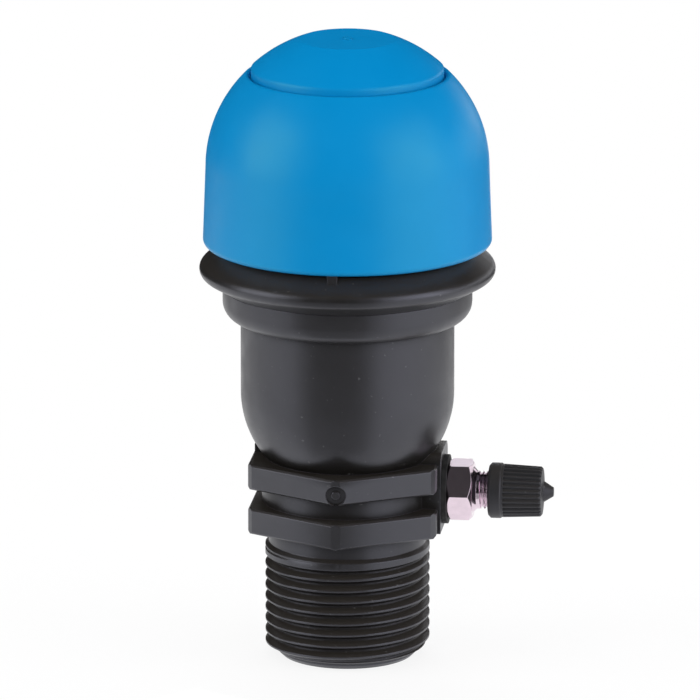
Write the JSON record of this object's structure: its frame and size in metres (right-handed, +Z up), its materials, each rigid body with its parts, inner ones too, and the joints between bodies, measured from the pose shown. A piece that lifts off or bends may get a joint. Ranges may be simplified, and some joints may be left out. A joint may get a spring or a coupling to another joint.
{
  "type": "air release valve",
  "caption": "Air release valve: threaded inlet, spanner collars, float bowl, saucer rim, blue domed rain cover and a capped pressure test point at the side.",
  "frame": {"origin": "centre of the inlet's bore, at the end face of the threaded spigot", "axes": "+Z up along the valve's axis towards the dome, +X along the test point"},
  "size_m": [0.0715, 0.0594, 0.1274],
  "materials": {
    "black_plastic": "fine satin moulded polypropylene",
    "cap_plastic": "fine satin moulded plastic",
    "blue_plastic": "satin moulded polypropylene",
    "white_plastic": "natural moulded plastic",
    "rubber": "matt black rubber",
    "nickel": "bright nickel plate",
    "brass": "turned brass",
    "steel": "stainless steel"
  },
  "bodies": {
    "valve_body": {"valve_body": "black_plastic", "bonnet": "black_plastic", "bonnet_o_ring": "rubber", "seat_seal": "rubber", "dome": "blue_plastic", "top_cap": "blue_plastic", "test_point_washer": "rubber", "test_point_body": "nickel", "core_barrel": "brass", "core_gasket": "rubber", "core_spring": "steel"},
    "kinetic_plug": {"kinetic_plug": "white_plastic", "plug_clip": "steel", "release_nozzle": "brass"},
    "float": {"float_cup": "white_plastic", "float_lid": "white_plastic", "float_pad": "rubber"},
    "core_pin": {"core_pin": "brass", "core_seal": "rubber"},
    "dust_cap_liner": {"dust_cap_liner": "rubber"},
    "dust_cap": {"dust_cap": "cap_plastic"}
  },
  "joints": [
    {"name": "plug_rise", "type": "slide", "parent": "valve_body", "child": "kinetic_plug", "axis": [0, 0, 1], "range_m": [0, 0.0085]},
    {"name": "float_rise", "type": "slide", "parent": "kinetic_plug", "child": "float", "axis": [0, 0, 1], "range_m": [0, 0.003]},
    {"name": "pin_press", "type": "slide", "parent": "valve_body", "child": "core_pin", "axis": [-1, 0, 0], "range_m": [0, 0.0015], "stiffness_N_per_m": 400, "springref_m": -0.002, "deforming": ["core_spring"]},
    {"name": "cap_travel", "type": "slide", "parent": "valve_body", "child": "dust_cap_liner", "axis": [1, 0, 0], "range_m": [0, 0.0079]},
    {"name": "cap_turn", "type": "hinge", "parent": "dust_cap_liner", "child": "dust_cap", "pos_m": [0.0371, 0, 0.0346], "axis": [1, 0, 0], "range_deg": [0, 3585]}
  ],
  "couplings": [
    {"joint": "cap_turn", "follows": "cap_travel", "rad_per_m": 7915.8}
  ]
}
